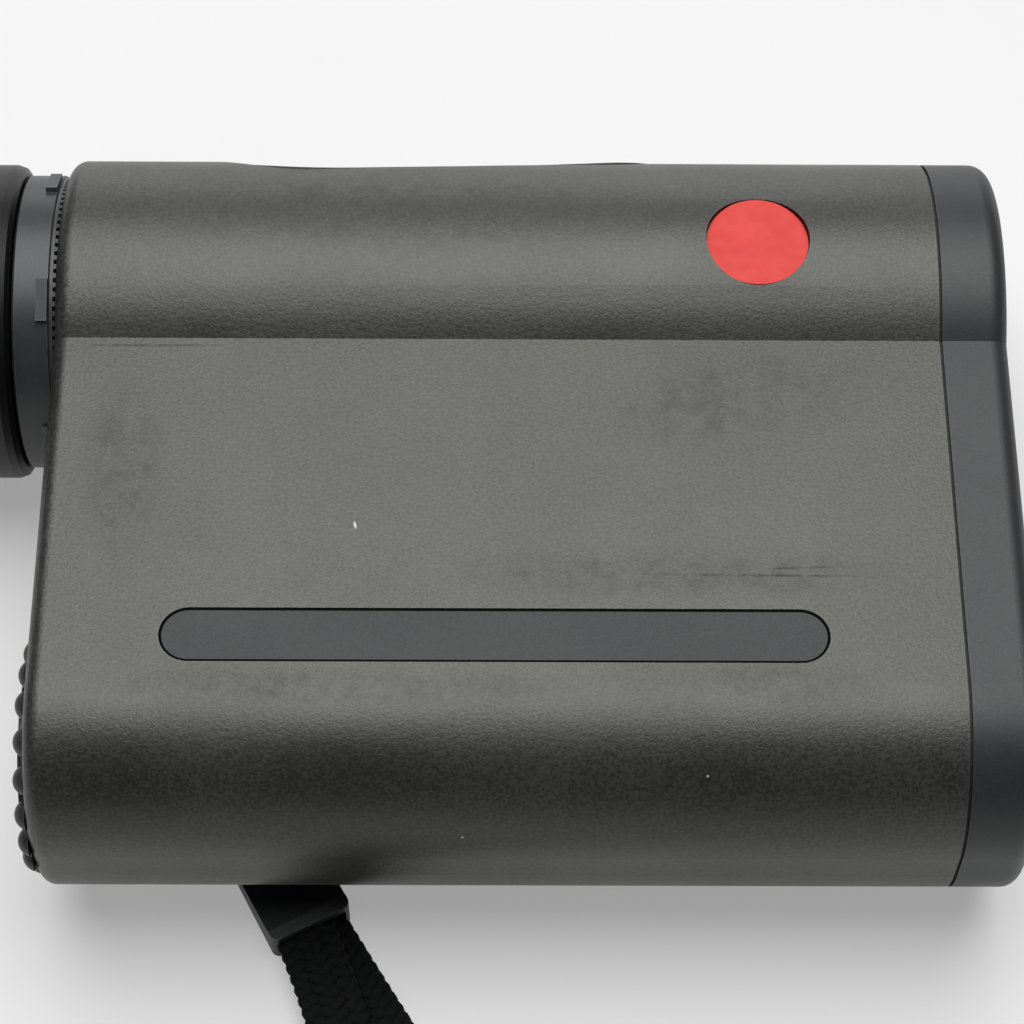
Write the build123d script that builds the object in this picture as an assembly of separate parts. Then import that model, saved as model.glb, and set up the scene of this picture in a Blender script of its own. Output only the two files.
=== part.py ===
from build123d import *
import math
import os

# A pocket laser rangefinder lying on its left side, in millimetres.
# +X runs forward along the optical axis, +Y towards the top of the device (the button side) and
# +Z up from the table through the device's right side. The origin is on the table, under the
# middle of the device.

# ---- Driving dimensions -------------------------------------------------------------------------
AXIS_Y = 20.5            # axis of the objective and of the tube
AXIS_Z = 17.0
EYE_Y = 21.6             # axis of the eyepiece, which the prisms set a little higher
TUBE_R = 17.0            # outside of the optical tube along the top
PANEL_HALF = 13.92       # half of the body's thickness between its flat sides
STEP_Y = 10.74           # where the tube meets the flat sides
BOTTOM_Y = -37.5
BOTTOM_R = 12.0          # rounding along the bottom
WALL = 2.4
REAR_X = -34.5           # rear face of the housing
SEAM_X = 49.8            # seam between the sleeve and the front bezel
FRONT_X = 56.5
EYECUP_END_X = -56.5

GASKET_T = 0.3
COVER_T = 1.0            # the rear cover lies flush in a rebate of the housing
REBATE = 1.65            # distance of the rebate's edge from the housing's outside
REBATE_X = REAR_X + COVER_T + GASKET_T
PLUG_DEPTH = 3.1         # how far the rear cover's plug enters past the rebate
REAR_ROUNDING = 1.5      # rounding of the housing's rear edge
FRONT_ROUNDING = 1.8
FIT = 0.05               # radial clearance of turned and sliding fits

OBJECTIVE_R = 12.6       # recess in front of the objective
LASER_Y = -18.0
LASER_R = 8.6

BATTERY_Y = -26.1
BATTERY_R = 7.8
BATTERY_X0 = -29.6
BATTERY_LENGTH = 27.0
CAP_R = 10.4
CAP_GAP = 0.1            # between the cap's flange and the rear face
CAP_KNOBS = 18           # round grip knobs round the cap
CAP_KNOB_R = 1.5
CAP_KNOB_PLACE_R = 9.8
CAP_HUB_R = 8.6
CAP_HUB_T = 0.95         # how far the hub stands out behind the rear face
COIN_SLOT = (13.0, 1.6, 0.6)                  # length, width and depth

RING_R = 14.65           # dioptre ring
RING_X0 = -38.9
RING_X1 = -35.0
RIB_X = -36.0            # its grip ribs
RIB_SIZE = (1.1, 4.1, 0.7)
RIB_FIRST = 25           # degrees
BARREL_R = 12.2
EYECUP_R = 15.7
EYECUP_X1 = -39.1

PLATE_X0 = -22.7         # name plate
PLATE_X1 = 37.8
PLATE_Y = -20.9
PLATE_H = 5.45
PLATE_DEPTH = 0.5

BADGE_X = 32.7
BADGE_R = 5.0
BADGE_FLOOR_Z = 32.9

REST_REAR_X = -11.0      # centres and radii of the finger rest's two round ends
REST_REAR_R = 13.5
REST_FRONT_X = 18.0
REST_FRONT_R = 11.4
REST_T = 1.2
REST_CROWN_R = 24.0
REST_FLOOR_Y = AXIS_Y + 12.6
# Height of the finger rest's ridge line below the top of the tube, along X.
REST_DIPS = [(-30, 0.95), (-25, 1.0), (-19, 1.6), (-11, 2.25), (-3, 2.15), (5, 1.92), (15, 1.5),
             (24, 1.17), (34, 0.95)]

BUTTON_X = -0.7
BUTTON_LENGTH = 13.2
BUTTON_WIDTH = 9.2
BUTTON_GAP = 0.1
BUTTON_TOP_Y = 36.2
BUTTON_BASE_Y = 33.95

SCREW_R = 0.8            # hole of the small screws
POST_R = 2.2
REAR_SCREWS = [(0.5, 9.6), (-12.0, 9.6)]      # (height, distance to each side of the middle)
FRONT_SCREWS = [(2.5, 9.0), (-27.5, 8.4)]
BOARD_SCREWS_X = [-20.0, 34.0]
BOARD_SCREWS_Z = 8.5

PRISM_X = 25.0           # front face of the prism group
PRISM_HALF = 6.5         # half of the prisms' width
FRAME_TOP_Y = 8.4        # optical frame's plate
FRAME_T = 1.8
BOARD_TOP_Y = -4.0
BOARD_T = 1.2

LUG_X = -16.1
LUG_Y = -25.5
LUG_PIN_R = 0.8
LUG_PIN_Z = 4.1
LUG_POCKET_TOP = 6.4
LUG_CORD_R = 0.6

CLIP_X = -9.58           # middle of the strap clip's mouth, and the way that the strap leaves it
CLIP_Y = -37.9
CLIP_TURN = 27.6         # degrees from -Y towards +X
CLIP_LENGTH = 8.7
CLIP_WIDTH = 8.2
SLOT_DEPTH = 6.0
BAND_WIDTH = 6.0         # braided strap
BAND_T = 1.3
BAND_SHIFT = 0.4         # the two bands lie this far to either side of the clip's middle
BAND_SPREAD = 1.1        # the same, 8 mm out of its mouth


# ---- Helpers ------------------------------------------------------------------------------------
def across(x):
    """A plane across the device at x. Its own axes are the device's Y and Z."""
    return Plane(origin=(x, 0, 0), x_dir=(0, 1, 0), z_dir=(1, 0, 0))


def disc(x0, x1, radius, bore=0.0, y=AXIS_Y, z=AXIS_Z):
    """A round disc or ring from x0 to x1."""
    face = Circle(radius) - Circle(bore) if bore else Circle(radius)
    return extrude(across(x0) * Pos(y, z) * face, amount=x1 - x0)


def turned(points, y=AXIS_Y):
    """A ring turned about the line through y that runs along X, from (x, radius) points."""
    outline = Polyline(*[(x, y + r) for x, r in points], close=True)
    face = Pos(0, 0, AXIS_Z) * make_face(outline)
    return revolve(face, Axis((0, y, AXIS_Z), (1, 0, 0)), 360)


def block(x0, x1, y0, y1, z0, z1):
    return Pos((x0 + x1) / 2, (y0 + y1) / 2, (z0 + z1) / 2) * Box(x1 - x0, y1 - y0, z1 - z0)


def pillar(x, z, radius, y0, y1):
    """A round post along Y."""
    return Pos(x, (y0 + y1) / 2, z) * Rot(90, 0, 0) * Cylinder(radius, y1 - y0)


def on_both_sides(places):
    """The (height, z) of each screw, from its height and its distance from the middle."""
    return [(y, AXIS_Z + side * half) for y, half in places for side in (-1, 1)]


def outline(inset=0.0):
    """The housing's keyhole outline: a round tube over a flat-sided box with a round bottom."""
    half = PANEL_HALF - inset
    height = STEP_Y + 8 - (BOTTOM_Y + inset)
    box = Rectangle(height, 2 * half, align=(Align.MIN, Align.CENTER))
    low = box.vertices().sort_by(Axis.X)[:2]
    box = fillet(low, BOTTOM_R - inset)
    return Pos(BOTTOM_Y + inset, AXIS_Z) * box + Pos(AXIS_Y, AXIS_Z) * Circle(TUBE_R - inset)


def slab(x0, x1, inset=0.0):
    """The housing's outline as a solid from x0 to x1."""
    return extrude(across(x0) * outline(inset), amount=x1 - x0)


def save(name, *solids):
    """Writes one node, which is a solid or a group of like solids."""
    shape = solids[0] if len(solids) == 1 else Compound(children=list(solids))
    shape.label = name
    export_step(shape, f"parts/{name}.step")


def screw(length, head_r=1.5, head_t=0.9):
    """A small screw along -X: its head's top is at the origin and its shank runs to +X."""
    head = Pos(head_t / 2, 0, 0) * Rot(0, 90, 0) * Cylinder(head_r, head_t)
    shank = Pos(head_t + length / 2, 0, 0) * Rot(0, 90, 0) * Cylinder(SCREW_R - 0.05, length)
    cross = Box(0.8, 1.7, 0.4) + Box(0.8, 0.4, 1.7)
    return head + shank - cross


# ---- Finger rest --------------------------------------------------------------------------------
def saddle(lower=0.0, half=14.6):
    """The solid under the finger rest's crowned, dished top surface, lowered by the given amount."""
    sections = []
    for x, dip in REST_DIPS:
        top = AXIS_Y + TUBE_R - dip - lower
        edge = top - REST_CROWN_R + math.sqrt(REST_CROWN_R**2 - half**2)
        crown = ThreePointArc((edge, AXIS_Z - half), (top, AXIS_Z), (edge, AXIS_Z + half))
        base = Polyline((edge, AXIS_Z + half), (REST_FLOOR_Y - 6, AXIS_Z + half),
                        (REST_FLOOR_Y - 6, AXIS_Z - half), (edge, AXIS_Z - half))
        sections.append(across(x) * make_face(crown + base))
    return loft(sections)


def rest_plan(inset=0.0):
    """A column over the finger rest's outline as seen from the top: two round ends and tangents."""
    rear = Pos(REST_REAR_X, 0) * Circle(REST_REAR_R - inset)
    front = Pos(REST_FRONT_X, 0) * Circle(REST_FRONT_R - inset)
    face = make_hull(rear.edges() + front.edges())
    plane = Plane(origin=(0, REST_FLOOR_Y - 4, AXIS_Z), x_dir=(1, 0, 0), z_dir=(0, 1, 0))
    return extrude(plane * face, amount=14)


def button_column(grow, y0, y1):
    """A long round-ended column along Y where the measure button goes."""
    plane = Plane(origin=(BUTTON_X, y0, AXIS_Z), x_dir=(1, 0, 0), z_dir=(0, 1, 0))
    oval = SlotOverall(BUTTON_LENGTH + 2 * grow, BUTTON_WIDTH + 2 * grow)
    return extrude(plane * oval, amount=y1 - y0)


def finger_rest():
    shell = saddle() - saddle(REST_T)
    rest = shell & rest_plan(0.1)
    return rest - button_column(BUTTON_GAP, REST_FLOOR_Y - 1, AXIS_Y + TUBE_R + 2)


def measure_button():
    button = button_column(0, BUTTON_BASE_Y, BUTTON_TOP_Y)
    button = fillet(button.edges().group_by(Axis.Y)[-1], 0.55)
    dish = Pos(BUTTON_X, BUTTON_TOP_Y + 59.65, AXIS_Z) * Sphere(60)
    return button - dish


# ---- Housing ------------------------------------------------------------------------------------
def name_plate_column(low_z, high_z, inset=0.0):
    """The name plate's long round-ended outline, between two heights."""
    plane = Plane(origin=((PLATE_X0 + PLATE_X1) / 2, PLATE_Y, low_z))
    slot = SlotOverall(PLATE_X1 - PLATE_X0 - 2 * inset, PLATE_H - 2 * inset)
    return extrude(plane * slot, amount=high_z - low_z)


def lug_pocket(grow=0.0):
    half = 3.5 + grow
    return block(LUG_X - half, LUG_X + half, -31.6 - grow, -22.4 + grow, 0, LUG_POCKET_TOP + grow)


def main_housing():
    sleeve = slab(REAR_X, SEAM_X)
    sleeve = fillet(sleeve.faces().sort_by(Axis.X)[0].edges(), REAR_ROUNDING)
    sleeve -= slab(REAR_X - 1, SEAM_X + 1, WALL)
    sleeve -= slab(REAR_X - 1, REBATE_X, REBATE)
    sleeve += slab(-25.7, 30.0) & block(-27, 31, REST_FLOOR_Y, 40, 4, 30)
    sleeve += lug_pocket(1.2) & slab(REBATE_X, SEAM_X)
    post_x = REBATE_X + PLUG_DEPTH
    for y, z in on_both_sides(REAR_SCREWS):
        post = disc(post_x, post_x + 8.0, POST_R, SCREW_R, y, z)
        sleeve += post & slab(REBATE_X, SEAM_X)
    sleeve -= rest_plan() - saddle(REST_T)
    sleeve -= button_column(BUTTON_GAP, REST_FLOOR_Y - 1, AXIS_Y + TUBE_R + 2)
    side_z = AXIS_Z + PANEL_HALF
    sleeve -= name_plate_column(side_z - PLATE_DEPTH, side_z + 1)
    sleeve -= Pos(BADGE_X, AXIS_Y, BADGE_FLOOR_Z + 2) * Cylinder(BADGE_R, 4)
    sleeve -= lug_pocket()
    return sleeve - lug_pin(LUG_PIN_R)


def lug_pin(radius):
    return disc(LUG_X - 4.6, LUG_X + 4.6, radius, 0, LUG_Y, LUG_PIN_Z)


def rear_cover():
    plate = slab(REAR_X, REAR_X + COVER_T, REBATE + FIT)
    plate = fillet(plate.faces().sort_by(Axis.X)[0].edges(), 0.2)
    cover = plate + slab(REAR_X + COVER_T, REBATE_X + PLUG_DEPTH, WALL + FIT)
    cover -= disc(REAR_X - 1, 0, BARREL_R + FIT, 0, EYE_Y)
    cover -= disc(REAR_X - 1, 0, 9.0, 0, BATTERY_Y)
    for y, z in on_both_sides(REAR_SCREWS):
        cover -= disc(REAR_X - 1, 0, SCREW_R + 0.15, 0, y, z)
        cover -= disc(REAR_X - 1, REAR_X + 1.0, 1.6, 0, y, z)
    return cover


def gasket(x0, edge):
    return slab(x0, x0 + GASKET_T, edge) - slab(x0 - 1, x0 + 1, WALL - 0.1)


def front_bezel():
    back_x = SEAM_X + GASKET_T
    bezel = slab(back_x, FRONT_X)
    bezel = fillet(bezel.faces().sort_by(Axis.X)[-1].edges(), FRONT_ROUNDING)
    for y, z in on_both_sides(FRONT_SCREWS):
        bezel += disc(42.0, back_x + 0.1, POST_R, 0, y, z)
        bezel -= disc(41.0, 54.0, SCREW_R, 0, y, z)
    bezel -= disc(back_x - 1, 53.5, 14.3)
    bezel -= disc(back_x - 1, FRONT_X + 1, OBJECTIVE_R)
    bezel -= disc(back_x - 1, 52.8, 9.25, 0, LASER_Y)
    window = [(52, 0), (52, 8.0), (54.5, 8.0), (FRONT_X + 0.5, LASER_R + 0.8), (FRONT_X + 0.5, 0)]
    return bezel - turned(window, LASER_Y)


# ---- Objective and laser ------------------------------------------------------------------------
def objective_cell():
    ring = turned([(42, 12.05), (42, 14.25), (53.45, 14.25), (53.45, 11.4), (52.6, 11.4), (52.6, 12.05)])
    return ring - disc(50.9, 52.1, 15, 13.45)


def oring(x, radius, thick_r, y=AXIS_Y):
    return Pos(x, y, AXIS_Z) * Rot(0, 90, 0) * Torus(radius, thick_r)


def lens(x_back, x_front, radius, back_r, front_r, y=AXIS_Y):
    """A round lens whose two faces bulge as parts of spheres of the given radii."""
    def front(r):
        return (x_front - front_r + math.sqrt(front_r**2 - r**2), y + r)

    def back(r):
        return (x_back + back_r - math.sqrt(back_r**2 - r**2), y + r)

    half = radius / 2
    lines = Line(back(0), front(0)) + ThreePointArc(front(0), front(half), front(radius))
    lines += Line(front(radius), back(radius)) + ThreePointArc(back(radius), back(half), back(0))
    return revolve(Pos(0, 0, AXIS_Z) * make_face(lines), Axis((0, y, AXIS_Z), (1, 0, 0)), 360)


def laser_barrel():
    return turned([
        (12, 4.2), (12, 5.6), (22, 5.6), (30, 9.2), (52.75, 9.2), (52.75, 7.6), (51.9, 7.6),
        (51.9, 8.05), (47.4, 8.05), (47.4, 7.2), (31, 7.2), (23, 4.2)], LASER_Y)


def laser_pins(radius):
    pins = []
    for degrees in (30, 150, 270):
        y = LASER_Y + 1.4 * math.cos(math.radians(degrees))
        z = AXIS_Z + 1.4 * math.sin(math.radians(degrees))
        pins.append(disc(6.6, 12.0, radius, 0, y, z))
    return pins


def laser_diode():
    diode = disc(12.0, 13.4, 4.15, 0, LASER_Y) + disc(13.4, 17.0, 2.35, 0, LASER_Y)
    for pin in laser_pins(0.25):
        diode += pin
    return diode


def laser_board():
    board = block(8.0, 9.0, -25, -11, AXIS_Z - 6, AXIS_Z + 6)
    for hole in laser_pins(0.4):
        board -= hole
    return board


# ---- Prisms and frame ---------------------------------------------------------------------------
def prism(points):
    """A prism from (distance behind the group's front, height over the axis) points."""
    corners = [(PRISM_X - back, AXIS_Y + up) for back, up in points]
    face = make_face(Polyline(*corners, close=True))
    return extrude(Pos(0, 0, AXIS_Z - PRISM_HALF) * face, amount=2 * PRISM_HALF)


def half_penta_prism():
    return prism([(0, 5.3), (0, -5.5), (13, -10.88), (15.5, -9.8), (0.4, 5.3)])


def roof_prism():
    low, high = 4.8, 9.9
    front, back = 1.2, 13.1
    body = prism([(front, low), (back, -7.1), (back, high)])
    slope = math.degrees(math.atan2(high - low, back - front))
    ridge = Pos(PRISM_X - back, AXIS_Y + high, AXIS_Z) * Rot(0, 0, -slope)
    return body & (ridge * Rot(-45, 0, 0) * Pos(0, -12, -12) * Box(60, 24, 24))


def optical_frame():
    bottom = FRAME_TOP_Y - FRAME_T
    frame = block(-28.3, 41, bottom, FRAME_TOP_Y, AXIS_Z - 10.6, AXIS_Z + 10.6)
    frame += disc(-28.3, -26, 14.2)
    frame += disc(39, 42, 14.25)
    frame += block(39, 42, -35.0, 10.0, AXIS_Z - 11.2, AXIS_Z + 11.2) & slab(38, 43, WALL + 0.2)
    frame -= disc(-29, -25, 10.7)
    frame -= disc(38, 43, 11.0)
    frame -= disc(38, 43, 9.25, 0, LASER_Y)
    for side in (-1, 1):
        near, far = sorted([AXIS_Z + side * (PRISM_HALF + 0.1), AXIS_Z + side * (PRISM_HALF + 1.7)])
        frame += block(9, 26, FRAME_TOP_Y, 20, near, far)
    for x in BOARD_SCREWS_X:
        for z in (AXIS_Z - BOARD_SCREWS_Z, AXIS_Z + BOARD_SCREWS_Z):
            frame += pillar(x, z, 1.9, BOARD_TOP_Y, bottom)
            frame -= pillar(x, z, SCREW_R, BOARD_TOP_Y - 0.5, bottom - 2)
    for y, z in on_both_sides(FRONT_SCREWS):
        frame -= disc(38, 43, SCREW_R + 0.1, 0, y, z)
    return frame


def prism_clamp():
    outer = block(13, 19, 12, 30.5, AXIS_Z - 8.75, AXIS_Z + 8.75)
    return outer - block(12, 20, 11, 30.0, AXIS_Z - 8.25, AXIS_Z + 8.25)


def display_frame():
    frame = block(-14, -11.2, FRAME_TOP_Y, 29.6, AXIS_Z - 8.6, AXIS_Z + 8.6)
    frame -= block(-13.2, -10, AXIS_Y - 6.1, AXIS_Y + 6.1, AXIS_Z - 6.1, AXIS_Z + 6.1)
    return frame - disc(-15, -10, 5.4)


# ---- Boards -------------------------------------------------------------------------------------
def board_screw_places():
    return [(x, AXIS_Z + side * BOARD_SCREWS_Z) for x in BOARD_SCREWS_X for side in (-1, 1)]


def main_board():
    board = block(-23, 37, BOARD_TOP_Y - BOARD_T, BOARD_TOP_Y, AXIS_Z - 10.8, AXIS_Z + 10.8)
    for x, z in board_screw_places():
        board -= pillar(x, z, SCREW_R + 0.15, BOARD_TOP_Y - 3, BOARD_TOP_Y + 1)
    return board


def board_components():
    top = BOARD_TOP_Y
    chips = [block(-12, -3, top, top + 1.2, 12, 21), block(4, 12, top, top + 1.0, 9, 17),
             block(15, 19, top, top + 1.6, 18, 24), block(22, 29, top, top + 1.1, 12, 19)]
    chips += [block(x, x + 1.6, top, top + 0.8, 23.5, 24.5) for x in (-8, -4, 0, 4, 8)]
    return chips + [pillar(-15, z, 1.7, top, top + 3.2) for z in (13, 18)]


def flex_cable():
    """The thin strip from the switch's board down the side of the tube to the main board."""
    line = Polyline((29.35, 20.5), (29.35, 22.5), (27.4, 25.3), (21, 28.1), (-2, 28.1), (-3.85, 27.0),
                    (-3.85, 25.5))
    return extrude(across(-8.5) * trace(line, 0.2), amount=5)


def tact_switch():
    plane = Plane(origin=(BUTTON_X, 32.0, AXIS_Z), x_dir=(1, 0, 0), z_dir=(0, 1, 0))
    body = block(BUTTON_X - 3, BUTTON_X + 3, 29.2, 32.0, AXIS_Z - 3, AXIS_Z + 3)
    return body + extrude(plane * Circle(1.5), amount=0.55)


# ---- Eyepiece -----------------------------------------------------------------------------------
def eyepiece_barrel():
    return turned([
        (-50.3, 10.7), (-50.3, BARREL_R), (-30.1, BARREL_R), (-30.1, 13.3), (-28.3, 13.3),
        (-28.3, 10.7)], EYE_Y)


def ocular_cell():
    return turned([
        (-48.0, 8.3), (-48.0, 10.65), (-31.0, 10.65), (-31.0, 9.0), (-47.2, 9.0), (-47.2, 8.3)], EYE_Y)


def dioptre_ring():
    low_r = RING_R - 0.25
    ring = turned([
        (RING_X0, BARREL_R + FIT), (RING_X0, low_r), (RING_X0 + 0.2, RING_R), (RING_X1 - 0.45, RING_R),
        (RING_X1 - 0.3, low_r), (RING_X1, low_r), (RING_X1, BARREL_R + FIT)], EYE_Y)
    for index in range(6):
        turn = Pos(0, EYE_Y, AXIS_Z) * Rot(RIB_FIRST + 60 * index, 0, 0)
        ring += turn * Pos(RIB_X, 0, RING_R) * Box(*RIB_SIZE)
    return ring


def eyecup():
    return turned([
        (EYECUP_END_X, 13.1), (EYECUP_END_X + 0.5, 13.8), (EYECUP_END_X + 1.6, 14.6), (-52.5, 15.0),
        (-45.5, 15.0), (-43.9, 15.35), (-42.4, EYECUP_R), (-40.2, EYECUP_R), (-39.5, 15.45),
        (EYECUP_X1, 14.8), (EYECUP_X1, 13.9), (-52.4, 13.9), (-52.4, 11.3), (-53.4, 11.3),
        (-55.9, 12.5)], EYE_Y)


def eyecup_carrier():
    sleeve = disc(-52.3, EYECUP_X1 - 0.1, 13.85, BARREL_R + 0.1, EYE_Y)
    return sleeve - disc(-44.6, -42.4, 13.15, 0, EYE_Y)


# ---- Battery ------------------------------------------------------------------------------------
def battery_cap():
    hub_x = REAR_X - CAP_HUB_T
    inner_x = REAR_X - CAP_GAP
    middle = Pos(0, BATTERY_Y, AXIS_Z)
    cap = disc(inner_x - 0.3, inner_x, CAP_R, 0, BATTERY_Y)
    for index in range(CAP_KNOBS):
        turn = middle * Rot(360 * index / CAP_KNOBS, 0, 0)
        cap += turn * Pos(REAR_X + 0.3, 0, CAP_KNOB_PLACE_R) * Sphere(CAP_KNOB_R)
    cap -= disc(inner_x, inner_x + 3, 13, 0, BATTERY_Y)
    cap += disc(hub_x, inner_x, CAP_HUB_R, 0, BATTERY_Y)
    cap += disc(inner_x, -30.1, 8.95, 7.4, BATTERY_Y)
    cap -= disc(-33.4, -32.2, 9.5, 8.2, BATTERY_Y)
    length, width, depth = COIN_SLOT
    return cap - middle * Pos(hub_x, 0, 0) * Box(2 * depth, length, width)


def cap_contact():
    contact = disc(REAR_X - CAP_GAP, -33.4, 6.8, 0, BATTERY_Y) + disc(-33.4, -29.7, 2.2, 0, BATTERY_Y)
    return contact + disc(-30.2, -29.65, 5.5, 0, BATTERY_Y)


def battery():
    can = disc(BATTERY_X0, BATTERY_X0 + BATTERY_LENGTH - 1.0, BATTERY_R, 0, BATTERY_Y)
    can = fillet(can.edges().filter_by(GeomType.CIRCLE), 0.6)
    return can + disc(BATTERY_X0 + BATTERY_LENGTH - 1.2, BATTERY_X0 + BATTERY_LENGTH, 3.1, 0, BATTERY_Y)


def battery_tube():
    return disc(-30.0, 2.0, 8.9, BATTERY_R + 0.2, BATTERY_Y) + disc(2.0, 3.2, 8.9, 0, BATTERY_Y)


def battery_spring():
    """A bent strip that presses on the battery's nub."""
    line = Polyline((1.8, -21.2), (1.2, -22.2), (-2.2, -24.6), (-2.4, -26.1), (-2.2, -27.6), (0.4, -30.2))
    strip = extrude(Pos(0, 0, AXIS_Z - 2.5) * trace(line, 0.3), amount=5)
    return strip & block(-2.58, 1.98, -32, -20, 0, 40)


# ---- Strap --------------------------------------------------------------------------------------
def clip_place():
    return Pos(CLIP_X, CLIP_Y, 0) * Rot(0, 0, CLIP_TURN)


def strap_clip():
    """A moulded sleeve, thin under the body and thicker at its mouth, which faces its own -Y."""
    side = Polyline((0, 0), (0, 4.2), (1.2, 4.2), (1.5, 3.9), (CLIP_LENGTH - 2.5, 3.2), (CLIP_LENGTH, 2.9),
                    (CLIP_LENGTH, 0), close=True)
    plane = Plane(origin=(-CLIP_WIDTH / 2, 0, 0), x_dir=(0, 1, 0), z_dir=(1, 0, 0))
    body = extrude(plane * make_face(side), amount=CLIP_WIDTH)
    body = fillet(body.edges().filter_by(Axis.Z).sort_by(Axis.Y)[:2], 0.8)
    slot_width = BAND_WIDTH + 2 * BAND_SHIFT + 0.2
    slot = Pos(0, SLOT_DEPTH / 2 - 0.5, 1.87) * Box(slot_width, SLOT_DEPTH + 1, 2 * BAND_T + 0.16)
    return clip_place() * (body - slot)


def on_clip(side, along):
    """A place beside the clip's middle line: to its side, and back from its mouth."""
    turn = math.radians(CLIP_TURN)
    x = CLIP_X + side * math.cos(turn) - along * math.sin(turn)
    return x, CLIP_Y + side * math.sin(turn) + along * math.cos(turn)


# The strap's middle line: out of the clip, round a loop on the table and back into the clip.
LOWER_Z = BAND_T / 2 + 0.03
UPPER_Z = LOWER_Z + BAND_T + 0.1
STRAP_ROUTE = [
    (*on_clip(BAND_SHIFT, SLOT_DEPTH), 1.2), (*on_clip(BAND_SPREAD, -8), 0.85), (4.4, -58.3, LOWER_Z),
    (15, -67.5, LOWER_Z), (32, -72.5, LOWER_Z), (46.5, -84, LOWER_Z), (52, -102, LOWER_Z),
    (43, -119, LOWER_Z), (24, -128, LOWER_Z), (1, -129, LOWER_Z), (-22, -131.5, LOWER_Z),
    (-42, -125.5, LOWER_Z), (-52.5, -110, LOWER_Z), (-50, -93, LOWER_Z), (-38.5, -83, LOWER_Z),
    (-24, -80.5, LOWER_Z), (-11, -73, LOWER_Z), (-4.4, -60, UPPER_Z),
    (*on_clip(-BAND_SPREAD, -8), 2.45), (*on_clip(-BAND_SHIFT, SLOT_DEPTH), 2.55)]

# The thin cord's middle line round the lug's pin, as (distance from the clip's mouth, height).
CORD_ROUTE = [(CLIP_LENGTH, 0.85), (11.7, 2.2), (15.6, 2.55), (15.6, 5.65), (12.7, 5.65),
              (CLIP_LENGTH, 2.1)]
CORD_RADII = [1.5, 1.5, 1.5, 1.8]


def route_radii(route):
    """As large an arc at each corner as its two runs allow."""
    points = [Vector(*point) for point in route]
    radii = []
    for before, here, after in zip(points, points[1:], points[2:]):
        turn = math.radians((here - before).get_angle(after - here))
        shorter = min((here - before).length, (after - here).length)
        radii.append(0.45 * shorter / math.tan(turn / 2))
    return radii


def wrist_strap():
    radii = route_radii(STRAP_ROUTE)
    path = FilletPolyline(*STRAP_ROUTE, radius=radii)
    start = Plane(origin=path @ 0, x_dir=Vector(0, 0, 1).cross(path % 0), z_dir=path % 0)
    strap = sweep(start * Rectangle(BAND_WIDTH, BAND_T), path=path)
    share = strap.volume / (path.length * BAND_WIDTH * BAND_T)
    print("strap radii", [round(radius, 1) for radius in radii])
    print("strap length", round(path.length, 1), "volume share", round(share, 4))
    return strap


def lug_cord():
    points = [(*on_clip(0, along), height) for along, height in CORD_ROUTE]
    path = FilletPolyline(*points, radius=CORD_RADII)
    start = Plane(origin=path @ 0, z_dir=path % 0)
    cord = sweep(start * Circle(LUG_CORD_R), path=path)
    print("lug cord volume share", round(cord.volume / (path.length * math.pi * LUG_CORD_R**2), 4))
    return cord


# ---- Nodes --------------------------------------------------------------------------------------
def plain_nodes():
    """The small parts that are a block, a disc or a plate each."""
    side_z = AXIS_Z + PANEL_HALF
    floor_z = side_z - PLATE_DEPTH
    return {
        "name_plate": name_plate_column(floor_z, floor_z + 0.4, 0.12),
        "round_badge": Pos(BADGE_X, AXIS_Y, BADGE_FLOOR_Z + 0.18) * Cylinder(BADGE_R - 0.1, 0.35),
        "rear_gasket": gasket(REAR_X + COVER_T, REBATE + 0.1),
        "front_gasket": gasket(SEAM_X, 0.35),
        "button_seal": button_column(1.9, 32.6, REST_FLOOR_Y),
        "switch_board": block(-8.5, 6.5, 28.2, 29.2, AXIS_Z - 5, AXIS_Z + 5),
        "objective_lens": lens(47.4, 52.5, 12.0, 60, 45),
        "objective_ring": disc(46.2, 48.45, 12.0, 11.2),
        "objective_oring": oring(51.5, 13.83, 0.36),
        "laser_lens": lens(47.5, 51.8, 8.0, 90, 30, LASER_Y),
        "laser_ring": disc(45.6, 47.35, 7.15, 6.3, LASER_Y),
        "display_panel": block(-13.1, -12.0, AXIS_Y - 6, AXIS_Y + 6, AXIS_Z - 6, AXIS_Z + 6),
        "field_stop": disc(-14.6, -14.0, 8.5, 5.2),
        "receiver_board": block(8, 28, 9, 27, AXIS_Z + 9.5, AXIS_Z + 10.3),
        "detector": Pos(22.5, 14, AXIS_Z + 8.9) * Cylinder(2.5, 1.15),
        "eye_lens": lens(-47.75, -44.2, 8.95, 60, 25, EYE_Y),
        "ocular_spacer": disc(-45.55, -37.66, 8.95, 8.2, EYE_Y),
        "field_lens": lens(-39.0, -34.8, 8.95, 25, 40, EYE_Y),
        "ocular_ring": disc(-35.55, -33.6, 8.95, 8.0, EYE_Y),
        "eyecup_guide": disc(-44.5, -42.5, 13.05, BARREL_R + 0.08, EYE_Y),
        "cap_oring": oring(-32.8, 8.58, 0.3, BATTERY_Y),
        "lug_pin": lug_pin(LUG_PIN_R - 0.03),
    }


SHAPED_NODES = [
    main_housing, rear_cover, front_bezel, finger_rest, measure_button, objective_cell, laser_barrel,
    laser_diode, laser_board, half_penta_prism, roof_prism, optical_frame, prism_clamp, display_frame,
    main_board, flex_cable, tact_switch, eyepiece_barrel, ocular_cell, dioptre_ring, eyecup, eyecup_carrier,
    battery_cap, cap_contact, battery, battery_tube, battery_spring, strap_clip, wrist_strap, lug_cord]


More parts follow.
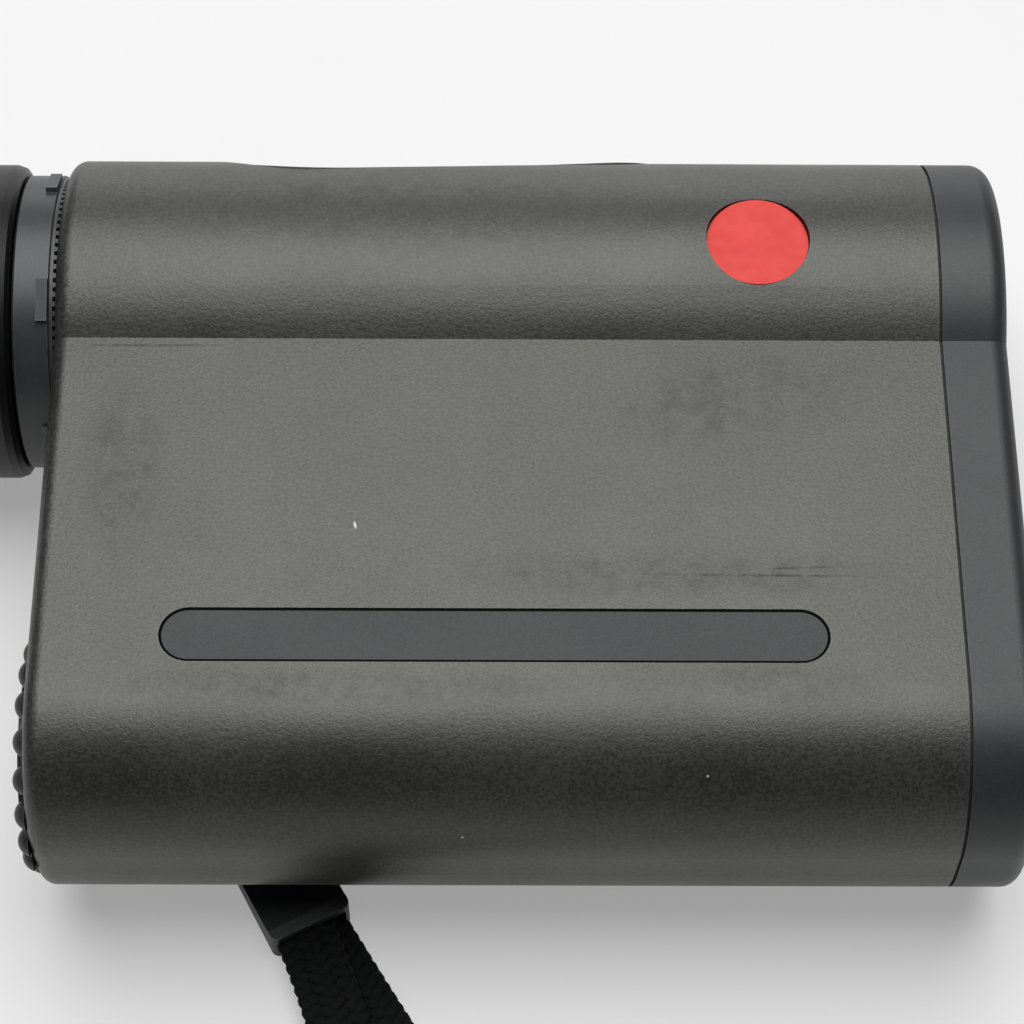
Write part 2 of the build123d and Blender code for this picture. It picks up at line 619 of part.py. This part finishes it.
def main():
    os.makedirs("parts", exist_ok=True)
    for make in SHAPED_NODES:
        save(make.__name__, make())
    for name, solid in plain_nodes().items():
        save(name, solid)
    save("board_components", *board_components())
    save("rear_screws", *[Pos(REAR_X + 0.1, y, z) * screw(7.5) for y, z in on_both_sides(REAR_SCREWS)])
    save("front_screws", *[Pos(38.1, y, z) * screw(14.5) for y, z in on_both_sides(FRONT_SCREWS)])
    board_heads_y = BOARD_TOP_Y - BOARD_T - 0.9
    heads = [Pos(x, board_heads_y, z) * Rot(0, 0, 90) for x, z in board_screw_places()]
    save("board_screws", *[head * screw(7.0) for head in heads])


main()
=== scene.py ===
import math

import bmesh
import bpy
from mathutils import Matrix, Vector


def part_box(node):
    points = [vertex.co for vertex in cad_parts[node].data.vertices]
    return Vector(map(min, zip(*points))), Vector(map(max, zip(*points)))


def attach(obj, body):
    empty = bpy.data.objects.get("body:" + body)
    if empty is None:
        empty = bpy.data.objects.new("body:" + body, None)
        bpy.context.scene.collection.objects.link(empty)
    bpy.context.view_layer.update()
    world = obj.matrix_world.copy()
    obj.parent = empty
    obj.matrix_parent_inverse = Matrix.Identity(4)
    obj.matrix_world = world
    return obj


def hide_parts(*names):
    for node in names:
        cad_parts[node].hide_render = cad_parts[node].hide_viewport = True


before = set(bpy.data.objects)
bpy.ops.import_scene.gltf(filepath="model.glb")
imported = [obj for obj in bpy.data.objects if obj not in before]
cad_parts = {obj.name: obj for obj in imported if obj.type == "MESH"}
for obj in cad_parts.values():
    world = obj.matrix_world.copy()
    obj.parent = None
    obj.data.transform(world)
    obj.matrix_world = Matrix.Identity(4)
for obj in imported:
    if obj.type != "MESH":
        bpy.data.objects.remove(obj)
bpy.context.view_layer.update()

MM = 0.001

# ---- Where things are, from the frame -----------------------------------------------------------
RING_LOW, RING_HIGH = (Vector(corner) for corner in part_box("dioptre_ring"))
LENS_LOW, LENS_HIGH = (Vector(corner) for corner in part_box("objective_lens"))
HOUSING_LOW, HOUSING_HIGH = (Vector(corner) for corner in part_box("main_housing"))
EYE_LOW, EYE_HIGH = (Vector(corner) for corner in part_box("eye_lens"))
PLATE_LOW, PLATE_HIGH = (Vector(corner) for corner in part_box("name_plate"))
AXIS_Y = (LENS_LOW.y + LENS_HIGH.y) / 2
AXIS_Z = (LENS_LOW.z + LENS_HIGH.z) / 2
EYE_Y = (EYE_LOW.y + EYE_HIGH.y) / 2

# ---- Camera -------------------------------------------------------------------------------------
CAMERA_PLACE = Vector((6.76, -147.19, 274.57)) * MM
CAMERA_LOOK = Vector((0.00838, 0.49559, -0.86851))
CAMERA_UP = Vector((-0.0038, 0.8686, 0.4956))
CAMERA_LENS = 107.19


def make_camera():
    camera = bpy.data.objects.new("camera", bpy.data.cameras.new("camera"))
    back = -CAMERA_LOOK.normalized()
    right = CAMERA_UP.cross(back).normalized()
    up = back.cross(right)
    turn = Matrix((right, up, back)).transposed().to_4x4()
    camera.matrix_world = Matrix.Translation(CAMERA_PLACE) @ turn
    camera.data.lens = CAMERA_LENS
    camera.data.clip_start = 0.01
    bpy.context.scene.collection.objects.link(camera)
    bpy.context.scene.camera = camera


# ---- Strap --------------------------------------------------------------------------------------
# Its size and its route, which is the same as in the CAD. Places are in millimetres.
BAND_WIDTH = 6.0 * MM
CLIP_MOUTH = (-9.58, -37.9)
CLIP_TURN = math.radians(27.6)
SLOT_DEPTH = 6.0
BAND_SHIFT = 0.4
BAND_SPREAD = 1.1
LOWER_Z = 0.68
UPPER_Z = 2.08


def on_clip(side, along):
    """A place beside the clip's middle line: to its side, and back from its mouth."""
    x = CLIP_MOUTH[0] + side * math.cos(CLIP_TURN) - along * math.sin(CLIP_TURN)
    return x, CLIP_MOUTH[1] + side * math.sin(CLIP_TURN) + along * math.cos(CLIP_TURN)


STRAP_ROUTE = [
    (*on_clip(BAND_SHIFT, SLOT_DEPTH), 1.2), (*on_clip(BAND_SPREAD, -8), 0.85), (4.4, -58.3, LOWER_Z),
    (15, -67.5, LOWER_Z), (32, -72.5, LOWER_Z), (46.5, -84, LOWER_Z), (52, -102, LOWER_Z),
    (43, -119, LOWER_Z), (24, -128, LOWER_Z), (1, -129, LOWER_Z), (-22, -131.5, LOWER_Z),
    (-42, -125.5, LOWER_Z), (-52.5, -110, LOWER_Z), (-50, -93, LOWER_Z), (-38.5, -83, LOWER_Z),
    (-24, -80.5, LOWER_Z), (-11, -73, LOWER_Z), (-4.4, -60, UPPER_Z),
    (*on_clip(-BAND_SPREAD, -8), 2.45), (*on_clip(-BAND_SHIFT, SLOT_DEPTH), 2.55)]
STRANDS = 7
BRAID_PITCH = 8.4 * MM
STRAND_WIDE = 0.62 * MM  # half of a strand's width
STRAND_TALL = 0.33 * MM  # half of its height
STRAND_LIFT = 0.30 * MM  # how far it rises and sinks as it crosses the others
STRAND_STEP = 0.35 * MM
STRAND_SIDES = 8
LINE_STEPS = 24


def link(obj):
    bpy.context.scene.collection.objects.link(obj)
    return obj


def strap_line():
    """The smooth line of the strap, read from a NURBS curve through the route."""
    curve = bpy.data.curves.new("strap_line", "CURVE")
    curve.dimensions = "3D"
    curve.resolution_u = LINE_STEPS
    spline = curve.splines.new("NURBS")
    spline.points.add(len(STRAP_ROUTE) - 1)
    for point, place in zip(spline.points, STRAP_ROUTE):
        point.co = (*(c * MM for c in place), 1)
    spline.order_u = 3
    spline.use_endpoint_u = True
    obj = bpy.data.objects.new("strap_line", curve)
    mesh = bpy.data.meshes.new_from_object(obj)
    line = [v.co.copy() for v in mesh.vertices]
    bpy.data.meshes.remove(mesh)
    bpy.data.objects.remove(obj)
    bpy.data.curves.remove(curve)
    return line


def evenly(line, step):
    """Points a step apart along a line, each with its direction."""
    along = [0.0]
    for a, b in zip(line, line[1:]):
        along.append(along[-1] + (b - a).length)
    count = int(along[-1] / step)
    found = []
    index = 0
    for k in range(count + 1):
        at = along[-1] * k / count
        while index < len(line) - 2 and along[index + 1] < at:
            index += 1
        a, b = line[index], line[index + 1]
        share = (at - along[index]) / max(along[index + 1] - along[index], 1e-9)
        found.append((a.lerp(b, share), (b - a).normalized(), at))
    return found


def tube_along(bm, centres, sections):
    """Adds a closed tube through the centres. Each section is the two half axes of its ring."""
    rings = []
    for centre, (wide, tall) in zip(centres, sections):
        ring = []
        for k in range(STRAND_SIDES):
            turn = 2 * math.pi * k / STRAND_SIDES
            ring.append(bm.verts.new(centre + wide * math.cos(turn) + tall * math.sin(turn)))
        rings.append(ring)
    for a, b in zip(rings, rings[1:]):
        for k in range(STRAND_SIDES):
            face = bm.faces.new((a[k], a[(k + 1) % STRAND_SIDES], b[(k + 1) % STRAND_SIDES], b[k]))
            face.smooth = True
    bm.faces.new(list(reversed(rings[0])))
    bm.faces.new(rings[-1])


def braided_strap(material):
    """A flat braid: strands that cross from edge to edge, over one and under the next."""
    line = strap_line()
    steps = evenly(line, STRAND_STEP)
    bm = bmesh.new()
    across_half = BAND_WIDTH / 2 - STRAND_WIDE
    for strand in range(STRANDS):
        phase = 2 * math.pi * strand / STRANDS
        centres, sections = [], []
        for place, forward, at in steps:
            side = Vector((0, 0, 1)).cross(forward).normalized()
            up = forward.cross(side)
            turn = 2 * math.pi * at / BRAID_PITCH + phase
            sideways = across_half * math.sin(turn)
            height = STRAND_LIFT * math.sin((STRANDS - 1) * turn)
            centres.append(place + side * sideways + up * height)
            slope = math.atan2(across_half * math.cos(turn) * 2 * math.pi, BRAID_PITCH)
            lateral = side * math.cos(slope) - forward * math.sin(slope)
            sections.append((lateral * STRAND_WIDE, up * STRAND_TALL))
        tube_along(bm, centres, sections)
    mesh = bpy.data.meshes.new("braided_strap")
    bm.to_mesh(mesh)
    bm.free()
    strap = link(bpy.data.objects.new("braided_strap", mesh))
    mesh.materials.append(material)
    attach(strap, "housing")
    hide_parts("wrist_strap")


# ---- Marks on the body's side -------------------------------------------------------------------
# Each is (x, y, length, width, turn), seen from above, in millimetres and degrees.
SCRATCHES = [(-25.2, 9.9, 16.0, 0.35, 0.3), (31.7, -14.7, 22.0, 0.35, -0.3), (35.5, -13.9, 9.0, 0.25, 2.0)]
SMUDGES = [(33.0, -25.7, 20.0, 4.5, -3.0), (-6.0, -26.0, 56.0, 4.0, 0.0), (-27.0, -3.0, 9.0, 22.0, 0.0),
           (24.0, -14.5, 46.0, 6.0, 0.0), (-2.0, 24.0, 60.0, 14.0, 0.0), (30.0, 4.0, 30.0, 12.0, 10.0)]
FLECKS = [(-5.29, -9.59, 0.34, 0.95, 14.0), (4.7, -36.96, 0.3, 0.1, 0.0),
          (26.5, -33.4, 0.25, 0.2, 0.0)]


# ---- Shaders ------------------------------------------------------------------------------------
class Shader:
    """A material, with short ways to add its nodes and join them."""

    def __init__(self, name):
        self.material = bpy.data.materials.new(name)
        self.material.use_nodes = True
        self.tree = self.material.node_tree
        self.surface = self.tree.nodes["Principled BSDF"]
        self.place = self.tree.nodes.new("ShaderNodeTexCoord").outputs["Object"]

    def put(self, value, socket):
        if isinstance(value, bpy.types.NodeSocket):
            self.tree.links.new(value, socket)
        else:
            socket.default_value = value

    def node(self, kind, settings=(), **sockets):
        node = self.tree.nodes.new("ShaderNode" + kind)
        for name, value in dict(settings).items():
            setattr(node, name, value)
        for name, value in sockets.items():
            self.put(value, node.inputs[name.replace("_", " ")])
        return node

    def set(self, **sockets):
        for name, value in sockets.items():
            self.put(value, self.surface.inputs[name.replace("_", " ")])

    def noise(self, size_mm, detail=2.0, roughness=0.5):
        """Noise whose features are about this large."""
        node = self.node("TexNoise", Vector=self.place, Scale=1000 / size_mm, Detail=detail,
                         Roughness=roughness)
        return node.outputs["Fac"]

    def ramp(self, value, low, high, to_low=0.0, to_high=1.0):
        node = self.node("MapRange", Value=value, From_Min=low, From_Max=high, To_Min=to_low, To_Max=to_high)
        return node.outputs["Result"]

    def compute(self, kind, a, b, third=0.0):
        node = self.node("Math", {"operation": kind})
        for value, socket in zip((a, b, third), node.inputs):
            self.put(value, socket)
        return node.outputs["Value"]

    def mix(self, share, a, b):
        node = self.node("Mix", {"data_type": "RGBA"})
        for value, index in ((share, 0), (a, 6), (b, 7)):
            self.put(value, node.inputs[index])
        return node.outputs[2]

    def axis(self, name):
        return self.node("SeparateXYZ", Vector=self.place).outputs[name]

    def stretched(self, scale):
        return self.node("Mapping", Vector=self.place, Scale=scale).outputs["Vector"]

    def bump(self, height, depth_mm):
        return self.node("Bump", Height=height, Distance=depth_mm * MM, Strength=1.0).outputs["Normal"]

    def worn_edges(self, radius_mm):
        """1 on sharp edges, 0 on flat stretches."""
        round_normal = self.node("Bevel", {"samples": 4}, Radius=radius_mm * MM).outputs["Normal"]
        true_normal = self.node("NewGeometry").outputs["Normal"]
        dot = self.node("VectorMath", {"operation": "DOT_PRODUCT"})
        self.put(round_normal, dot.inputs[0])
        self.put(true_normal, dot.inputs[1])
        return self.ramp(dot.outputs["Value"], 0.995, 0.9)


def grey(level, tint=(1, 1, 1)):
    return (*(level * t for t in tint), 1)


WARM = (1.0, 1.0, 0.93)
COOL = (0.94, 1.0, 1.07)
PLAIN = (1, 1, 1)
SLEEVE_SPLIT_X = -10.5 * MM


def moulded(name, level, tint, roughness, grain_mm, grain_depth, mottle, smudges, specular=0.5, wear=0.5):
    """Moulded plastic: a fine grain, a mottled tone, large faint smudges and paler edges."""
    s = Shader(name)
    fine = s.noise(grain_mm, 3, 0.6)
    dust = s.noise(grain_mm * 0.4, 2, 0.5)
    cloud = s.noise(14, 4, 0.6)
    tone = s.ramp(fine, 0.35, 0.65, 1 - mottle, 1 + mottle)
    tone = s.compute("MULTIPLY", tone, s.ramp(cloud, 0.35, 0.65, 1 - smudges, 1 + smudges))
    edge = s.compute("MULTIPLY", s.worn_edges(0.25), s.ramp(s.noise(1.5, 3), 0.35, 0.6))
    base = s.mix(s.ramp(tone, 0.5, 1.5), grey(level * 0.5, tint), grey(level * 1.5, tint))
    base = s.mix(s.compute("MULTIPLY", edge, wear), base, grey(level * 4, tint))
    uneven = s.compute("ADD", s.compute("MULTIPLY", dust, 0.5), s.compute("MULTIPLY", cloud, 0.5))
    rough = s.ramp(uneven, 0.3, 0.7, roughness - 0.08, roughness + 0.08)
    height = s.compute("ADD", s.compute("MULTIPLY", fine, 0.7), s.compute("MULTIPLY", dust, 0.3))
    s.set(Base_Color=base, Roughness=rough, Specular_IOR_Level=specular, Normal=s.bump(height, grain_depth))
    return s


def streak(s, x_mm, y_mm, length_mm, width_mm, turn_degrees=0.0):
    """1 inside a long soft-edged oval on the body's side, given by its middle."""
    turn = math.radians(turn_degrees)
    size = Vector((length_mm, width_mm)) / 2000
    moved = s.node("VectorMath", {"operation": "SUBTRACT"})
    s.put(s.place, moved.inputs[0])
    s.put((x_mm * MM, y_mm * MM, 0), moved.inputs[1])
    turned = s.node("VectorRotate", Vector=moved.outputs["Vector"], Angle=-turn).outputs["Vector"]
    flat = s.node("Mapping", Vector=turned, Scale=(1 / size.x, 1 / size.y, 0)).outputs["Vector"]
    far = s.node("VectorMath", {"operation": "LENGTH"})
    s.put(flat, far.inputs[0])
    return s.ramp(far.outputs["Value"], 1.0, 0.45)


def body_plastic():
    """The body's grained plastic with its few fine scratches, dull smudges and pale flecks."""
    s = moulded("body_plastic", 0.020, WARM, roughness=0.42, grain_mm=0.34, grain_depth=0.05,
                mottle=0.75, smudges=0.25, specular=0.68)
    base = s.surface.inputs["Base Color"].links[0].from_socket
    rough = s.surface.inputs["Roughness"].links[0].from_socket
    broken = s.ramp(s.noise(1.6, 3, 0.6), 0.36, 0.55, 0.0, 0.55)
    patchy = s.ramp(s.noise(2.0, 5, 0.75), 0.42, 0.66, 0.05, 0.45)
    for scratch in SCRATCHES:
        share = s.compute("MULTIPLY", streak(s, *scratch), broken)
        base = s.mix(share, base, grey(0.004))
        rough = s.compute("MULTIPLY_ADD", share, 0.3, rough)
    for smudge in SMUDGES:
        share = s.compute("MULTIPLY", streak(s, *smudge), patchy)
        base = s.mix(share, base, grey(0.008))
        rough = s.compute("MULTIPLY_ADD", share, 0.22, rough)
    for fleck in FLECKS:
        base = s.mix(streak(s, *fleck), base, grey(0.5))
    s.set(Base_Color=base, Roughness=rough, Specular_Tint=grey(1, (1.0, 1.0, 0.92)))
    return s


def rubber(name, level, grain_mm=0.25, roughness=0.62, specular=0.35, sheen=0.15):
    s = moulded(name, level, PLAIN, roughness=roughness, grain_mm=grain_mm, grain_depth=0.02,
                mottle=0.15, smudges=0.25, specular=specular, wear=0.15)
    s.set(Sheen_Weight=sheen, Sheen_Roughness=0.5)
    return s


def metal(name, colour, roughness=0.35, brushed=(40, 4000, 4000)):
    """Turned or rolled metal with fine lines along one way."""
    s = Shader(name)
    lines = s.node("TexNoise", Vector=s.stretched(brushed), Scale=1.0, Detail=3.0).outputs["Fac"]
    stain = s.noise(5, 3)
    base = s.mix(s.ramp(stain, 0.35, 0.7, 0, 0.5), (*colour, 1), (*(c * 0.6 for c in colour), 1))
    s.set(Base_Color=base, Metallic=1.0, Roughness=s.ramp(lines, 0.3, 0.7, roughness - 0.1, roughness + 0.12))
    s.set(Normal=s.bump(lines, 0.004))
    return s


def coated_glass(name, tint):
    """Clear glass with a faint coloured coating and a little dust."""
    s = Shader(name)
    dust = s.noise(0.6, 4, 0.7)
    s.set(Base_Color=(0.9, 0.95, 0.95, 1), Transmission_Weight=1.0, IOR=1.52)
    s.set(Roughness=s.ramp(dust, 0.62, 0.8, 0.0, 0.25))
    s.set(Coat_Weight=0.6, Coat_Tint=(*tint, 1), Coat_Roughness=0.02)
    s.set(Specular_Tint=(*tint, 1))
    return s


def circuit_board():
    s = Shader("circuit_board")
    grid = s.stretched((900, 900, 900))
    tracks = s.node("TexBrick", Vector=grid, Scale=1.0, Mortar_Size=0.04).outputs["Fac"]
    base = s.mix(tracks, (0.008, 0.07, 0.03, 1), (0.03, 0.16, 0.07, 1))
    s.set(Base_Color=base, Roughness=s.ramp(s.noise(2), 0.3, 0.7, 0.25, 0.45), Normal=s.bump(tracks, 0.02))
    return s


def webbing():
    """Black yarn: fine fibres along each strand, with a dull sheen."""
    s = Shader("black_yarn")
    fibre = s.noise(0.12, 4, 0.7)
    tone = s.mix(s.ramp(fibre, 0.3, 0.75), grey(0.003), grey(0.012, COOL))
    s.set(Base_Color=tone, Roughness=0.75, Specular_IOR_Level=0.1, Sheen_Weight=0.04, Sheen_Roughness=0.4)
    s.set(Sheen_Tint=grey(0.5, COOL), Normal=s.bump(fibre, 0.05))
    return s


def battery_sleeve():
    """A dark printed sleeve with a copper-coloured end."""
    s = Shader("battery_sleeve")
    share = s.ramp(s.axis("X"), SLEEVE_SPLIT_X, SLEEVE_SPLIT_X + 0.2 * MM)
    base = s.mix(share, (0.05, 0.05, 0.055, 1), (0.5, 0.32, 0.12, 1))
    s.set(Base_Color=base, Metallic=0.6, Roughness=s.ramp(s.noise(3), 0.3, 0.7, 0.25, 0.4))
    s.set(Normal=s.bump(s.noise(0.8), 0.01))
    return s


def badge_enamel():
    s = Shader("badge_enamel")
    cloud = s.noise(3, 3)
    base = s.mix(s.ramp(cloud, 0.3, 0.7), (0.60, 0.030, 0.022, 1), (0.68, 0.045, 0.035, 1))
    s.set(Base_Color=base, Roughness=s.ramp(s.noise(1.0, 3), 0.3, 0.7, 0.25, 0.4), Specular_IOR_Level=0.2)
    s.set(Normal=s.bump(s.noise(1.2), 0.004))
    return s


# ---- Extra pieces -------------------------------------------------------------------------------
TEETH = 96
TEETH_INNER_R = 13.4 * MM
TEETH_OUTER_R = 14.3 * MM
TOOTH_WIDE = 0.30        # half of a tooth's width at its root and at its tip, as a share of its pitch
TOOTH_NARROW = 0.18
TEETH_SUNK = 0.05 * MM   # into the ring
TEETH_GAP = 0.12 * MM    # to the housing
# Painted shadow round the name plate: how far its near-black strip reaches inside and outside the plate's
# edge, and how far it is lifted above the plate.
OUTLINE_INSIDE = 0.14 * MM
OUTLINE_OUTSIDE = 0.11 * MM
OUTLINE_LIFT = 0.01 * MM
ARC_STEPS = 24


def ring_teeth(material):
    """The dioptre ring's row of fine click teeth, at its joint with the body."""
    bm = bmesh.new()
    ends = ((RING_HIGH.x - TEETH_SUNK, TOOTH_WIDE), (HOUSING_LOW.x - TEETH_GAP, TOOTH_NARROW))
    for index in range(TEETH):
        corners = []
        for x, half in ends:
            for radius, side in ((TEETH_INNER_R, -half), (TEETH_INNER_R, half),
                                 (TEETH_OUTER_R, half), (TEETH_OUTER_R, -half)):
                turn = 2 * math.pi * (index + side) / TEETH
                y = EYE_Y + radius * math.sin(turn)
                corners.append(bm.verts.new((x, y, AXIS_Z + radius * math.cos(turn))))
        for quad in ((3, 2, 1, 0), (4, 5, 6, 7), (0, 1, 5, 4), (1, 2, 6, 5), (2, 3, 7, 6), (3, 0, 4, 7)):
            bm.faces.new([corners[k] for k in quad])
    mesh = bpy.data.meshes.new("ring_teeth")
    bm.to_mesh(mesh)
    bm.free()
    mesh.materials.append(material)
    obj = link(bpy.data.objects.new("ring_teeth", mesh))
    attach(obj, "dioptre_ring")


def plate_gap_shadow(material):
    """A painted shadow: a near-black strip laid over the gap round the name plate, standing in for the shade
    inside it.
    """
    half = (PLATE_HIGH.y - PLATE_LOW.y) / 2
    middle_y = (PLATE_HIGH.y + PLATE_LOW.y) / 2
    bm = bmesh.new()
    loops = []
    for grow in (-OUTLINE_INSIDE, OUTLINE_OUTSIDE):
        loop = []
        for centre_x, first in ((PLATE_HIGH.x - half, -90), (PLATE_LOW.x + half, 90)):
            for step in range(ARC_STEPS + 1):
                turn = math.radians(first + 180 * step / ARC_STEPS)
                x = centre_x + (half + grow) * math.cos(turn)
                y = middle_y + (half + grow) * math.sin(turn)
                loop.append(bm.verts.new((x, y, PLATE_HIGH.z + OUTLINE_LIFT)))
        loops.append(loop)
    inner, outer = loops
    for k in range(len(inner)):
        after = (k + 1) % len(inner)
        bm.faces.new((inner[k], outer[k], outer[after], inner[after]))
    mesh = bpy.data.meshes.new("plate_gap_shadow")
    bm.to_mesh(mesh)
    bm.free()
    mesh.materials.append(material)
    obj = link(bpy.data.objects.new("plate_gap_shadow", mesh))
    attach(obj, "housing")


# ---- Stage --------------------------------------------------------------------------------------
FLOOR_HALF = 2.5
FLOOR_LEVELS = (0.50, 0.52)
FLOOR_GLOW = 0.32        # a slight light of its own, for pale shadows
WORLD_STRENGTH = 0.08
# Each soft light is (name, place, size, power). It points at the origin.
LIGHTS = [("softbox", (0.0, 0.25, 1.0), 1.15, 14.6), ("backdrop_glow", (0.0, 2.6, 0.44), 1.4, 11.6)]


def make_floor():
    bm = bmesh.new()
    bmesh.ops.create_grid(bm, x_segments=4, y_segments=4, size=FLOOR_HALF)
    mesh = bpy.data.meshes.new("floor")
    bm.to_mesh(mesh)
    bm.free()
    floor = link(bpy.data.objects.new("floor", mesh))
    s = Shader("floor_paper")
    tone = s.ramp(s.noise(60, 2), 0.3, 0.7)
    low, high = FLOOR_LEVELS
    s.set(Base_Color=s.mix(tone, grey(low), grey(high)), Roughness=0.7, Specular_IOR_Level=0.1)
    s.set(Emission_Color=grey(1), Emission_Strength=FLOOR_GLOW)
    mesh.materials.append(s.material)


def area_light(name, place, size, power):
    light = bpy.data.lights.new(name, "AREA")
    light.shape = "DISK"
    light.size = size
    light.energy = power
    obj = link(bpy.data.objects.new(name, light))
    place = Vector(place)
    turn = (-place).to_track_quat("-Z", "Y").to_matrix().to_4x4()
    obj.matrix_world = Matrix.Translation(place) @ turn


def make_light():
    world = bpy.data.worlds.new("studio")
    world.use_nodes = True
    background = world.node_tree.nodes["Background"]
    background.inputs["Color"].default_value = grey(1)
    background.inputs["Strength"].default_value = WORLD_STRENGTH
    bpy.context.scene.world = world
    for light in LIGHTS:
        area_light(*light)


# ---- Finishes -----------------------------------------------------------------------------------
def finishes():
    steel = metal("bright_steel", (0.62, 0.61, 0.58), 0.3)
    black = metal("black_anodised", (0.035, 0.036, 0.038), 0.4)
    gold = metal("gilt_metal", (0.75, 0.55, 0.25), 0.3)
    seal = rubber("seal_rubber", 0.012)
    board = circuit_board()
    inner = moulded("inner_plastic", 0.02, PLAIN, roughness=0.5, grain_mm=0.45, grain_depth=0.03,
                    mottle=0.25, smudges=0.15)
    green = coated_glass("green_coated_glass", (0.75, 1.0, 0.85))
    violet = coated_glass("violet_coated_glass", (0.85, 0.8, 1.0))
    return {
        body_plastic(): ["main_housing", "rear_cover"],
        moulded("bezel_plastic", 0.022, COOL, roughness=0.47, grain_mm=0.3, grain_depth=0.012,
                mottle=0.12, smudges=0.1, specular=0.47): ["front_bezel"],
        moulded("plate_plastic", 0.020, COOL, roughness=0.45, grain_mm=0.5, grain_depth=0.008,
                mottle=0.12, smudges=0.1, specular=0.33): ["name_plate"],
        moulded("ring_plastic", 0.030, COOL, roughness=0.42, grain_mm=0.3, grain_depth=0.006,
                mottle=0.1, smudges=0.15): ["dioptre_ring"],
        moulded("cap_plastic", 0.022, PLAIN, roughness=0.48, grain_mm=0.3, grain_depth=0.01,
                mottle=0.15, smudges=0.2): ["battery_cap"],
        moulded("button_plastic", 0.028, PLAIN, roughness=0.4, grain_mm=0.25, grain_depth=0.006,
                mottle=0.1, smudges=0.2): ["measure_button"],
        moulded("clip_plastic", 0.024, COOL, roughness=0.5, grain_mm=0.3, grain_depth=0.006,
                mottle=0.15, smudges=0.2, specular=0.35, wear=0.6): ["strap_clip"],
        rubber("rest_rubber", 0.022): ["finger_rest"],
        rubber("cup_rubber", 0.004, grain_mm=0.2, roughness=0.42, specular=0.3, sheen=0.0): ["eyecup"],
        seal: ["rear_gasket", "front_gasket", "button_seal", "objective_oring", "cap_oring"],
        black: ["objective_cell", "objective_ring", "laser_barrel", "laser_ring", "ocular_cell",
                "ocular_ring", "ocular_spacer", "field_stop", "eyepiece_barrel", "optical_frame"],
        steel: ["rear_screws", "front_screws", "board_screws", "lug_pin", "prism_clamp", "battery_spring"],
        gold: ["cap_contact", "laser_diode", "detector"],
        inner: ["display_frame", "battery_tube", "eyecup_carrier", "eyecup_guide", "tact_switch",
                "board_components"],
        board: ["main_board", "laser_board", "receiver_board", "switch_board"],
        metal("flex_copper", (0.5, 0.24, 0.07), 0.35): ["flex_cable"],
        green: ["objective_lens", "eye_lens", "field_lens"],
        violet: ["laser_lens", "half_penta_prism", "roof_prism", "display_panel"],
        battery_sleeve(): ["battery"],
        badge_enamel(): ["round_badge"],
    }


def finish_nodes(yarn):
    found = {node: shader.material for shader, nodes in finishes().items() for node in nodes}
    found["wrist_strap"] = found["lug_cord"] = yarn
    for name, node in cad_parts.items():
        node.data.materials.clear()
        node.data.materials.append(found[name])
        for face in node.data.polygons:
            face.material_index = 0
    return found


make_camera()
yarn = webbing().material
braided_strap(yarn)
coats = finish_nodes(yarn)
ring_teeth(coats["dioptre_ring"])
# A near-black strip over the name plate's gap, as painted shadow.
plate_gap_shadow(moulded("gap_shadow", 0.002, PLAIN, roughness=0.8, grain_mm=0.3, grain_depth=0.0,
                      mottle=0.1, smudges=0.1, specular=0.05, wear=0.0).material)
make_floor()
make_light()
bpy.context.scene.view_settings.view_transform = "Standard"
